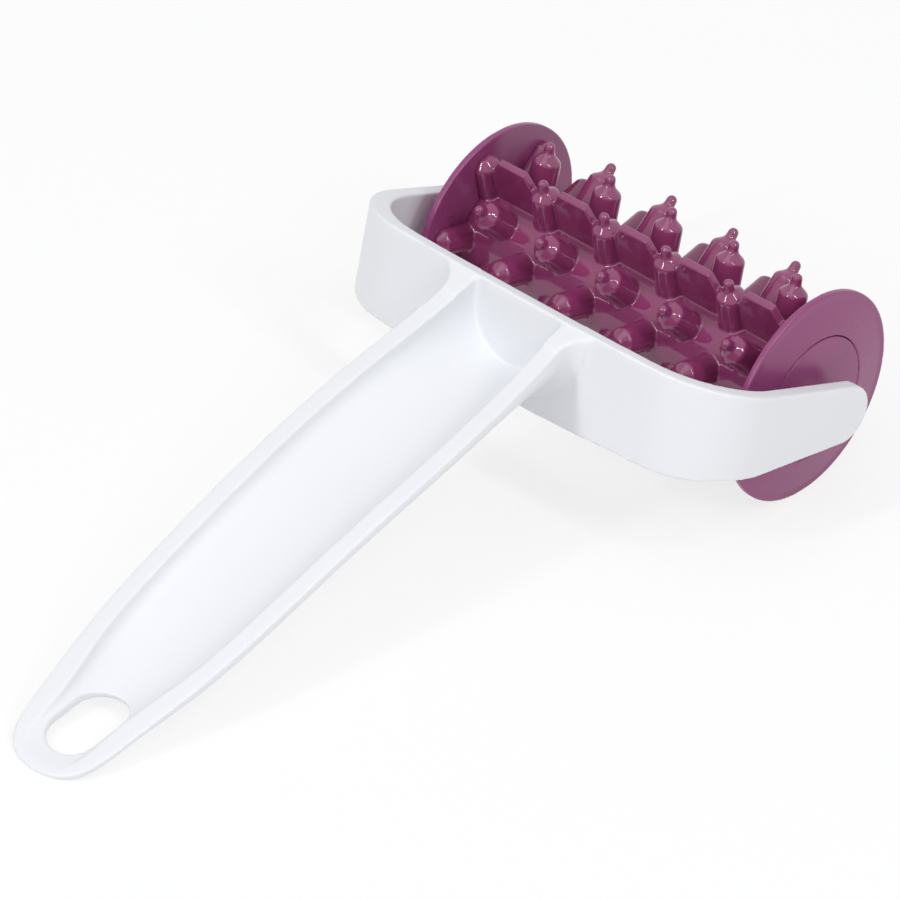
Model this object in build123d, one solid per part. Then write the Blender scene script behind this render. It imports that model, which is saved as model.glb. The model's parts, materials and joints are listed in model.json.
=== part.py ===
from build123d import *
import math
import os

# A dough docker: a plum roller with pegs, ribs and two end discs, which turns on two stub
# pins in the arms of a white one-piece handle. Millimetres and degrees.
#
# The pieces are drawn in the handle's frame: the roller's axle is the X axis, +Y points
# from the handle to the roller, and +Z is square to the handle's rim. At the end they are
# laid down as the tool rests on a table, on its discs and the heel of its handle.

# Roller drum
drum_r = 12.0
drum_wall = 2.4
drum_len = 86.8
peg_pitch = 17.3
peg_rows = 12
pegs_per_row = 5
first_row_angle = 28.4

# Pegs, from the drum's surface out
peg_base_r = 3.45
peg_shoulder_r = 3.15
peg_body_h = 7.6
peg_cone_h = 1.6
peg_shoulder_round = 1.3
nub_r = 1.25
nub_tip_r = 1.15
nub_h = 2.6
nub_foot_round = 1.0

# Ribs between the pegs of two opposite rows
ribbed_rows = (2, 8)
rib_t = 1.8
rib_web_h = 7.0
rib_h = 10.9
rib_top_half = 3.7
rib_foot_half = 5.7

# End discs
disc_inset = 0.2
disc_rim_t = 1.5
disc_crown = 1.1
disc_slope_w = 8.0
spigot_len = 8.0
spigot_wall = 2.4
fit_gap = 0.05

# Hub plugs, each in a recess of its disc
hub_r = 14.2
hub_flange_t = 1.4
hub_dome = 0.4
hub_seam = 0.15
hub_stem_len = 7.0

# Stub pins on the arms, in sockets in the hub plugs
pin_r = 3.0
pin_len = 6.0
pin_clear = 0.06
pin_end_gap = 0.6
boss_r = 3.8
boss_h = 3.4
boss_gap = 0.4

# Yoke: a bar and two tapered arms, one bent wall
yoke_wall = 3.8
yoke_corner_r = 19.4
yoke_inner_r = 17.8
bar_bow_r = 640.0
bar_gap = 17.4
bar_belly = 1.25
wall_lean = 28.0
arm_top_slope = 38.25
tip_r = 6.6
tip_reach = 2.0
tip_drop = 0.7

# Handle: a trough with a flat rim and a round end
handle_len = 146.8
handle_half_w = 17.8
handle_depth = 8.7
rim_w = 4.2
rim_end_drop = 3.6
trough_wall = 2.4
trough_end_depth = 0.12
hull_margin = 0.3

# Round where the handle's hull meets the bar, lofted through sections at these turns
flare_r = 5.5
flare_drop = 0.6
flare_depth = 16.6
flare_turns = (68, 50, 30, 15, 0)
bar_sink = 1.0

# Hang slot in the handle's end
slot_w = 12.0
slot_len = 18.3
slot_from_end = 15.65

# Point in the handle's end at which the table cuts the heel flat
heel_in = 0.4
heel_depth = 1.2

# Cuts run past the faces they open
overrun = 10.0

# Shares along the handle, from the bar to its end: place, half width, depth, rim height,
# rim width, trough wall. The rim height is a share of the drop at the end.
station_shares = (
    (-0.06, 0.91, 2.05, 0.12, 1.0, 1.0),
    (0.05, 0.92, 1.77, -0.22, 1.0, 1.0),
    (0.13, 0.965, 1.30, -0.20, 1.0, 1.0),
    (0.27, 1.015, 1.08, 0.04, 1.0, 1.0),
    (0.45, 1.0, 1.0, 0.17, 1.0, 1.0),
    (0.65, 0.95, 0.94, -0.10, 1.0, 1.0),
    (0.78, 0.86, 0.86, -0.35, 1.04, 0.8),
    (0.885, 0.72, 0.58, -0.57, 1.15, 0.55),
    (0.95, 0.70, 0.32, -0.72, 1.3, 0.55),
    (1.04, 0.70, 0.10, -0.88, 1.3, 0.55),
)
outline_count = 8
cavity_count = 9
cavity_end_shares = (0.985, 0.50, 0.0, -0.78, 1.0, 0.55)
end_outline_shares = ((0.937, 0.64), (0.975, 0.50))

# Shares along half of the bar, from its middle: place, share of the belly
belly_shares = ((0.36, 0.86), (0.68, 0.42), (0.88, 0.45), (0.97, 0.24))

# Worked-out sizes of the roller
peg_h = peg_body_h + peg_cone_h + nub_h
disc_r = drum_r + peg_h + disc_inset
bore_r = drum_r - drum_wall
stem_bore_r = bore_r - spigot_wall
stem_r = stem_bore_r - fit_gap
recess_r = hub_r + hub_seam
disc_x = drum_len / 2
hub_x = disc_x + disc_rim_t + disc_crown
row_step = 360 / peg_rows

# Worked-out sizes of the yoke
arm_inner_x = hub_x + hub_dome + boss_gap + boss_h
arm_outer_x = arm_inner_x + yoke_wall
bar_outer = disc_r + bar_gap + yoke_wall
bar_inner = disc_r + bar_gap


def side_point(along, up, angle):
    """A point in the YZ plane, measured along and square to a line that falls forward."""
    a = math.radians(angle)
    return Vector(0, along * math.cos(a) + up * math.sin(a), up * math.cos(a) - along * math.sin(a))


# The arm's top and bottom lines touch the tip's round; the bar's top and bottom follow them.
mid_slope = (arm_top_slope + wall_lean) / 2
tip_centre = side_point(tip_reach, -tip_drop, mid_slope)
tip_top = tip_centre + side_point(0, tip_r, arm_top_slope)
tip_nose = tip_centre + side_point(tip_r, 0, mid_slope)
tip_bottom = tip_centre - side_point(0, tip_r, wall_lean)
top_plane = Plane(origin=tip_top, x_dir=(1, 0, 0), z_dir=side_point(0, 1, arm_top_slope))
wall_plane = Plane(origin=(0, 0, 0), x_dir=(1, 0, 0), z_dir=side_point(0, 1, wall_lean))


def height_on_bar(edge_point, slope):
    """Height, along the bar's rear face, where a sloping edge line of the arm meets it."""
    local = wall_plane.to_local_coords(edge_point)
    return local.Z + (bar_outer + local.Y) * math.tan(math.radians(slope - wall_lean))


bar_top_up = height_on_bar(tip_top, arm_top_slope)
bar_bottom_up = height_on_bar(tip_bottom, wall_lean)
bar_top = side_point(-bar_outer, bar_top_up, wall_lean)


def rounded(face, point, radius):
    """A flat face with the corner at one point rounded."""
    return fillet(face.vertices().sort_by_distance(point)[:1], radius)


def peg(with_nub):
    """One peg on the Z axis, from inside the drum's wall out."""
    root = bore_r + drum_wall / 2
    body = drum_r + peg_body_h
    cone = body + peg_cone_h
    outline = [(0, root), (peg_base_r, root), (peg_shoulder_r, body), (nub_r, cone)]
    if with_nub:
        tip_z = drum_r + peg_h
        side = Polyline(*outline, (nub_tip_r, tip_z - nub_tip_r))
        nose = RadiusArc(side @ 1, (0, tip_z), -nub_tip_r)
        profile = make_face([side, nose, Line(nose @ 1, side @ 0)])
        profile = rounded(profile, (nub_r, cone), nub_foot_round)
    else:
        side = Polyline(*outline, (0, cone))
        profile = make_face([side, Line(side @ 1, side @ 0)])
    profile = rounded(profile, (peg_shoulder_r, body), peg_shoulder_round)
    return revolve(Plane.XZ * profile, Axis.Z)


def rib():
    """One rib between two pegs, in the plane of the axle."""
    half = peg_pitch / 2
    root = bore_r + drum_wall / 2
    web = drum_r + rib_web_h
    top = drum_r + rib_h
    side = [(rib_top_half, top), (rib_foot_half, web), (half, web), (half, root)]
    other_side = [(-x, z) for x, z in reversed(side)]
    plate = Plane.XZ * make_face(Polyline(*side, *other_side, close=True))
    return extrude(plate, rib_t / 2, both=True)


def row_places(row):
    """Distances along the axle of one row's pegs."""
    count = pegs_per_row if row % 2 else pegs_per_row + 1
    return [(i - (count - 1) / 2) * peg_pitch for i in range(count)]


def roller_drum():
    body = Rot(0, 90, 0) * Cylinder(drum_r, drum_len)
    whole_peg = peg(True)
    end_peg = peg(False)
    bridge = rib()
    for row in range(peg_rows):
        turn = Rot(first_row_angle + row * row_step - 90, 0, 0)
        for x in row_places(row):
            piece = whole_peg if abs(x) + peg_base_r < disc_x else end_peg
            body += turn * Pos(x, 0, 0) * piece
        if row in ribbed_rows:
            for x in row_places(row + 1):
                body += turn * Pos(x, 0, 0) * bridge
    body &= Rot(0, 90, 0) * Cylinder(disc_r, drum_len)
    return body - Rot(0, 90, 0) * Cylinder(bore_r, drum_len + overrun)


def end_disc():
    """The right disc, turned about the axle: rim, raised middle, recess and spigot."""
    step_r = recess_r + disc_slope_w
    profile = Polyline(
        (stem_bore_r, -spigot_len),
        (bore_r - fit_gap, -spigot_len),
        (bore_r - fit_gap, 0),
        (disc_r, 0),
        (disc_r, disc_rim_t),
        (step_r, disc_rim_t),
        (recess_r, disc_rim_t + disc_crown),
        (recess_r, disc_rim_t + disc_crown - hub_flange_t),
        (stem_bore_r, disc_rim_t + disc_crown - hub_flange_t),
        close=True,
    )
    turned = revolve(Plane.XZ * make_face(profile), Axis.Z)
    return Pos(disc_x, 0, 0) * Rot(0, 90, 0) * turned


def hub_cap():
    """The right plug: a slightly domed flange on a stem, with the pin's socket."""
    socket_len = pin_len + pin_end_gap - boss_gap
    rim = Polyline(
        (0, -hub_flange_t - hub_stem_len),
        (stem_r, -hub_flange_t - hub_stem_len),
        (stem_r, -hub_flange_t),
        (hub_r, -hub_flange_t),
        (hub_r, 0),
    )
    face_edge = Line(rim @ 1, (0, hub_dome))
    turned = revolve(Plane.XZ * make_face([rim, face_edge, Line(face_edge @ 1, rim @ 0)]), Axis.Z)
    socket = Pos(0, 0, hub_dome - socket_len) * Cylinder(
        pin_r + pin_clear,
        socket_len + overrun,
        align=(Align.CENTER, Align.CENTER, Align.MIN),
    )
    return Pos(hub_x, 0, 0) * Rot(0, 90, 0) * (turned - socket)


def yoke_plan(half_w, back, corner_r):
    """The area within the yoke's wall, seen along the bar: straight sides, a bowed back."""
    bow = half_w**2 / bar_bow_r / 2
    front = tip_r + overrun
    left = Line((-half_w, front), (-half_w, bow - back))
    rear = ThreePointArc(left @ 1, (0, -back), (half_w, bow - back))
    right = Line(rear @ 1, (half_w, front))
    area = make_face([left, rear, right, Line(right @ 1, left @ 0)])
    return fillet(area.vertices().sort_by(Axis.Y)[:2], corner_r)


def yoke():
    ring = yoke_plan(arm_outer_x, bar_outer, yoke_corner_r)
    ring -= yoke_plan(arm_inner_x, bar_inner, yoke_inner_r)
    reach = bar_outer + overrun
    wall = wall_plane * extrude(ring, reach, both=True)
    back_top = tip_top - side_point(reach, 0, arm_top_slope)
    back_bottom = tip_bottom - side_point(reach, 0, wall_lean)
    top = Line(back_top, tip_top)
    nose = ThreePointArc(tip_top, tip_nose, tip_bottom)
    bottom = Line(tip_bottom, back_bottom)
    side = make_face([top, nose, bottom, Line(back_bottom, back_top)])
    half = [(x * arm_inner_x, bar_bottom_up - z * bar_belly) for x, z in belly_shares]
    half.append((arm_inner_x, bar_bottom_up))
    other_half = [(-x, z) for x, z in reversed(half)]
    belly_edge = Spline(*other_half, (0, bar_bottom_up - bar_belly), *half)
    belly_face = wall_plane * Plane.XZ * make_face([belly_edge, Line(belly_edge @ 1, belly_edge @ 0)])
    belly_box = extrude(belly_face, reach)
    return wall & extrude(side, arm_outer_x, dir=(1, 0, 0), both=True) + belly_box


def rim_plane(place, height):
    """A plane across the handle at one place along it, with local +Y downward."""
    y = bar_top.Y - place * handle_len
    z = bar_top.Z + height * rim_end_drop
    return Plane(origin=(0, y, z), x_dir=(1, 0, 0), z_dir=(0, 1, 0))


def hull_section(place, width, depth, height, *_):
    a = width * handle_half_w + hull_margin
    b = depth * handle_depth
    top = Line((-a, 0), (a, 0))
    bowl = EllipticalCenterArc((0, 0), a, b, start_angle=0, arc_size=180)
    return rim_plane(place, height) * make_face([top, bowl])


def cavity_section(place, width, depth, height, rim, wall):
    a = width * handle_half_w - rim * rim_w
    b = max(depth * handle_depth - wall * trough_wall, trough_end_depth)
    bowl = EllipticalCenterArc((0, 0), a, b, start_angle=0, arc_size=180)
    top = Polyline((-a, 0), (-a, -overrun), (a, -overrun), (a, 0))
    return rim_plane(place, height) * make_face([bowl, top])


def handle_outline():
    """The handle seen from above: two curved sides and a round end."""
    end_y = bar_top.Y - handle_len
    sides = [(s[1] * handle_half_w, bar_top.Y - s[0] * handle_len) for s in station_shares]
    sides = sides[:outline_count]
    sides += [(s[1] * handle_half_w, bar_top.Y - s[0] * handle_len) for s in end_outline_shares]
    edge = Spline(*sides, (0, end_y), *[(-x, y) for x, y in reversed(sides)])
    return make_face([edge, Line(edge @ 1, edge @ 0)])


def flare():
    """The concave round where the handle's hull spreads on to the bar's rear face."""
    half_w = station_shares[1][1] * handle_half_w
    rim_z = bar_top.Z - flare_drop
    sections = []
    for turn in flare_turns:
        out = flare_r * (1 - math.sin(math.radians(turn)))
        grow = flare_r * (1 - math.cos(math.radians(turn)))
        on_wall = wall_plane.to_local_coords(Vector(0, bar_top.Y, rim_z))
        rise = on_wall.Z - out * math.tan(math.radians(wall_lean))
        plane = wall_plane * Plane(origin=(0, -bar_outer - out, rise), x_dir=(1, 0, 0), z_dir=(0, 1, 0))
        a = half_w + grow
        bowl = EllipticalCenterArc((0, 0), a, flare_depth + grow, start_angle=0, arc_size=180)
        sections.append(plane * make_face([Line((-a, 0), (a, 0)), bowl]))
    return loft(sections) + extrude(sections[0], bar_sink, dir=side_point(1, 0, wall_lean))


def handle():
    hull = loft([hull_section(*s) for s in station_shares])
    cavity_shares = station_shares[:cavity_count] + (cavity_end_shares,)
    cavity = loft([cavity_section(*s) for s in cavity_shares])
    outline = extrude(handle_outline(), bar_outer + overrun, both=True)
    slot_y = bar_top.Y - handle_len + slot_from_end
    slot_shape = Pos(0, slot_y) * SlotOverall(slot_len, slot_w, rotation=90)
    slot = extrude(slot_shape, bar_outer)
    ahead = Box(arm_outer_x, bar_outer, 2 * bar_outer, align=(Align.CENTER, Align.MIN, Align.CENTER))
    front = wall_plane * Pos(0, bar_sink - bar_outer, 0) * ahead
    over = Box(arm_outer_x, handle_len, handle_len, align=(Align.CENTER, Align.CENTER, Align.MIN))
    above = top_plane * over
    return (hull & outline) + flare() - cavity - slot - front - above


def arm_pin():
    """The right arm's boss and stub pin, both pointing inward."""
    boss = Cylinder(boss_r, boss_h + yoke_wall / 2, align=(Align.CENTER, Align.CENTER, Align.MIN))
    pin = Pos(0, 0, -pin_len) * Cylinder(
        pin_r,
        pin_len + boss_h,
        align=(Align.CENTER, Align.CENTER, Align.MIN),
    )
    return Pos(arm_inner_x - boss_h, 0, 0) * Rot(0, 90, 0) * (boss + pin)


def handle_frame():
    pin = arm_pin()
    return yoke() + handle() + pin + mirror(pin, Plane.YZ)


# The tool lies on its discs and on the heel, a point just inside the handle's end.
end_height = station_shares[outline_count][3] * rim_end_drop
heel_y = bar_top.Y - handle_len + heel_in
heel_z = bar_top.Z + end_height - heel_depth
heel_distance = math.hypot(heel_y, heel_z)
tilt = math.atan2(heel_z, -heel_y) + math.asin(disc_r / heel_distance)


def lay_down(shape):
    return Pos(0, 0, disc_r) * Rot(math.degrees(tilt), 0, 0) * shape


floor_half = arm_outer_x + handle_len + bar_outer
floor = Box(2 * floor_half, 2 * floor_half, floor_half, align=(Align.CENTER, Align.CENTER, Align.MAX))
frame = lay_down(handle_frame()) - floor
extent = frame.bounding_box()
centre_y = (extent.min.Y + disc_r) / 2

disc = end_disc()
cap = hub_cap()
pieces = {
    "roller_drum": lay_down(roller_drum()),
    "end_disc_right": lay_down(disc),
    "end_disc_left": lay_down(mirror(disc, Plane.YZ)),
    "hub_cap_right": lay_down(cap),
    "hub_cap_left": lay_down(mirror(cap, Plane.YZ)),
}

os.makedirs("parts", exist_ok=True)
export_step(Pos(0, -centre_y, 0) * frame, "parts/handle_frame.step")
for name, piece in pieces.items():
    export_step(Pos(0, -centre_y, 0) * piece, f"parts/{name}.step")
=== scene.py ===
import json

import bpy
from mathutils import Matrix, Vector

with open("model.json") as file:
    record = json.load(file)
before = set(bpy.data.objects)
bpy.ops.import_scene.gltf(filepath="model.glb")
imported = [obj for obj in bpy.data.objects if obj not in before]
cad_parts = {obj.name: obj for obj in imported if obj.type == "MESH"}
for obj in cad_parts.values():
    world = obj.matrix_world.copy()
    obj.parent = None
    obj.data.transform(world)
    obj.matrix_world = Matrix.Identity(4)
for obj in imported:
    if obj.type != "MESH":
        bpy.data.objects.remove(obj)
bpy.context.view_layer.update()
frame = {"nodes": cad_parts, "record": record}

MM = 0.001

# Camera, fitted to the photograph: where it stands, its axes and its lens
CAMERA_PLACE = (0.73301, -0.80980, 0.80346)
CAMERA_RIGHT = (0.730736, 0.681710, 0.035992)
CAMERA_UP = (-0.416921, 0.403913, 0.814267)
CAMERA_LENS = 263.2
SENSOR_WIDTH = 36.0
CAMERA_NEAR = 0.05
CAMERA_FAR = 20.0

camera = bpy.data.objects.new("camera", bpy.data.cameras.new("camera"))
bpy.context.scene.collection.objects.link(camera)
bpy.context.scene.camera = camera
right, up = Vector(CAMERA_RIGHT), Vector(CAMERA_UP)
turn = Matrix((right, up, right.cross(up))).transposed().to_4x4()
camera.matrix_world = Matrix.Translation(CAMERA_PLACE) @ turn
camera.data.lens = CAMERA_LENS
camera.data.sensor_width = SENSOR_WIDTH
camera.data.clip_start = CAMERA_NEAR
camera.data.clip_end = CAMERA_FAR


# Moulded plastic: detail of its two noises, and the height of its grain in mm
MOTTLE_DETAIL = 3.0
GRAIN_DETAIL = 4.0
GRAIN_HEIGHT = 0.1


def plastic(name, colour, roughness, mottle, mottle_size, grain, grain_size, **more):
    """Moulded plastic: slightly uneven colour and gloss, and a fine moulded grain."""
    mat = bpy.data.materials.new(name)
    mat.use_nodes = True
    nodes, links = mat.node_tree.nodes, mat.node_tree.links
    shader = nodes["Principled BSDF"]
    place = nodes.new("ShaderNodeTexCoord")
    cloud = nodes.new("ShaderNodeTexNoise")
    cloud.inputs["Scale"].default_value = 1 / (mottle_size * MM)
    cloud.inputs["Detail"].default_value = MOTTLE_DETAIL
    links.new(place.outputs["Object"], cloud.inputs["Vector"])
    tint = nodes.new("ShaderNodeMix")
    tint.data_type = "RGBA"
    links.new(cloud.outputs["Fac"], tint.inputs["Factor"])
    tint.inputs["A"].default_value = (*[c * (1 - mottle) for c in colour], 1)
    tint.inputs["B"].default_value = (*[min(c * (1 + mottle), 1) for c in colour], 1)
    links.new(tint.outputs["Result"], shader.inputs["Base Color"])
    gloss = nodes.new("ShaderNodeMapRange")
    gloss.inputs["To Min"].default_value = roughness[0]
    gloss.inputs["To Max"].default_value = roughness[1]
    links.new(cloud.outputs["Fac"], gloss.inputs["Value"])
    links.new(gloss.outputs["Result"], shader.inputs["Roughness"])
    fine = nodes.new("ShaderNodeTexNoise")
    fine.inputs["Scale"].default_value = 1 / (grain_size * MM)
    fine.inputs["Detail"].default_value = GRAIN_DETAIL
    links.new(place.outputs["Object"], fine.inputs["Vector"])
    bump = nodes.new("ShaderNodeBump")
    bump.inputs["Strength"].default_value = grain
    bump.inputs["Distance"].default_value = GRAIN_HEIGHT * MM
    links.new(fine.outputs["Fac"], bump.inputs["Height"])
    links.new(bump.outputs["Normal"], shader.inputs["Normal"])
    for socket, value in more.items():
        shader.inputs[socket.replace("_", " ")].default_value = value
    return mat


white = plastic(
    "white_plastic", (0.80, 0.81, 0.84), (0.36, 0.46), 0.015, 30, 0.12, 0.5, IOR=1.47,
)
plum = plastic(
    "plum_plastic", (0.26, 0.040, 0.135), (0.03, 0.06), 0.10, 12, 0.04, 0.8, IOR=1.6,
)
plum_satin = plastic(
    "plum_satin_plastic", (0.27, 0.050, 0.165), (0.24, 0.32), 0.06, 12, 0.03, 0.6, IOR=1.5,
)
materials = {
    "white_plastic": white,
    "plum_plastic": plum,
    "plum_disc_plastic": plum_satin,
    "plum_cap_plastic": plum_satin,
}

slots = {p["node"]: p["material_slot"] for p in frame["record"]["subparts"]}
for name, node in frame["nodes"].items():
    node.data.materials.clear()
    node.data.materials.append(materials[slots[name]])

# Soft moulded edges: each piece's voxel size in mm and its rounds of smoothing.
# With 24 rounds on the handle, two pairs of pieces touch at rest.
SMOOTHING = 0.5
VOXELS = {
    "handle_frame": (0.32, 15),
    "roller_drum": (0.22, 7),
    "end_disc_left": (0.25, 3),
    "end_disc_right": (0.25, 3),
    "hub_cap_left": (0.25, 1),
    "hub_cap_right": (0.25, 1),
}
for name, (size, rounds) in VOXELS.items():
    node = frame["nodes"][name]
    skin = node.modifiers.new("skin", "REMESH")
    skin.mode = "VOXEL"
    skin.voxel_size = size * MM
    skin.use_smooth_shade = True
    soft = node.modifiers.new("soft", "SMOOTH")
    soft.factor = SMOOTHING
    soft.iterations = rounds

# Floor
FLOOR_HALF = 4
floor_corners = [
    (-FLOOR_HALF, -FLOOR_HALF, 0),
    (FLOOR_HALF, -FLOOR_HALF, 0),
    (FLOOR_HALF, FLOOR_HALF, 0),
    (-FLOOR_HALF, FLOOR_HALF, 0),
]
floor_mesh = bpy.data.meshes.new("floor")
floor_mesh.from_pydata(floor_corners, [], [tuple(range(len(floor_corners)))])
floor = bpy.data.objects.new("floor", floor_mesh)
bpy.context.scene.collection.objects.link(floor)
floor_mat = plastic("floor_paper", (0.93, 0.932, 0.935), (0.6, 0.7), 0.01, 200, 0.1, 2.0)
floor_mesh.materials.append(floor_mat)


def seen_directly(nodes, links):
    """One for rays from the camera and for clear reflections and views through."""
    paths = nodes.new("ShaderNodeLightPath")
    mirrored = nodes.new("ShaderNodeMath")
    mirrored.operation = "MAXIMUM"
    links.new(paths.outputs["Is Glossy Ray"], mirrored.inputs[0])
    links.new(paths.outputs["Is Transmission Ray"], mirrored.inputs[1])
    either = nodes.new("ShaderNodeMath")
    either.operation = "MAXIMUM"
    links.new(paths.outputs["Is Camera Ray"], either.inputs[0])
    links.new(mirrored.outputs["Value"], either.inputs[1])
    return either.outputs["Value"]


# The camera sees the floor most of the way to white, with its shadow
FLOOR_WHITE = 0.78
nodes, links = floor_mat.node_tree.nodes, floor_mat.node_tree.links
paper = nodes["Principled BSDF"]
white_paper = nodes.new("ShaderNodeEmission")
white_paper.inputs["Strength"].default_value = 1.0
share = nodes.new("ShaderNodeMath")
share.operation = "MULTIPLY"
share.inputs[1].default_value = FLOOR_WHITE
links.new(seen_directly(nodes, links), share.inputs[0])
pale = nodes.new("ShaderNodeMixShader")
links.new(share.outputs["Value"], pale.inputs["Fac"])
links.new(paper.outputs["BSDF"], pale.inputs[1])
links.new(white_paper.outputs["Emission"], pale.inputs[2])
links.new(pale.outputs["Shader"], nodes["Material Output"].inputs["Surface"])

# Soft studio light: the world is white where it is seen, and lights less than it shows
FILL_COLOUR = (0.97, 0.985, 1, 1)
FILL_STRENGTH = 0.49
world = bpy.data.worlds.new("studio")
bpy.context.scene.world = world
world.use_nodes = True
nodes, links = world.node_tree.nodes, world.node_tree.links
nodes.clear()
seen = nodes.new("ShaderNodeBackground")
seen.inputs["Color"].default_value = (1, 1, 1, 1)
seen.inputs["Strength"].default_value = 1.0
fill = nodes.new("ShaderNodeBackground")
fill.inputs["Color"].default_value = FILL_COLOUR
fill.inputs["Strength"].default_value = FILL_STRENGTH
choose = nodes.new("ShaderNodeMixShader")
out = nodes.new("ShaderNodeOutputWorld")
links.new(seen_directly(nodes, links), choose.inputs["Fac"])
links.new(fill.outputs["Background"], choose.inputs[1])
links.new(seen.outputs["Background"], choose.inputs[2])
links.new(choose.outputs["Shader"], out.inputs["Surface"])


LAMP_AIM = (0, 0.05, 0.02)


def soft_box(name, place, size, watts):
    """A rectangular lamp that faces the roller; narrow ones draw streaks on the pegs."""
    light = bpy.data.lights.new(name, "AREA")
    light.shape = "RECTANGLE"
    light.size, light.size_y = size
    light.energy = watts
    lamp = bpy.data.objects.new(name, light)
    bpy.context.scene.collection.objects.link(lamp)
    lamp.location = place
    lamp.rotation_mode = "QUATERNION"
    lamp.rotation_quaternion = (Vector(LAMP_AIM) - Vector(place)).to_track_quat("-Z", "Y")


soft_box("top_light", (-0.1, -0.3, 1.4), (1.0, 1.0), 3.2)
soft_box("left_strip", (-0.2, -1.0, 0.85), (0.08, 0.55), 4.6)
soft_box("right_strip_low", (0.92, -0.06, 0.85), (0.07, 0.30), 2.7)
soft_box("right_strip_high", (0.72, -0.06, 1.22), (0.07, 0.30), 2.7)

bpy.context.scene.view_settings.view_transform = "Standard"
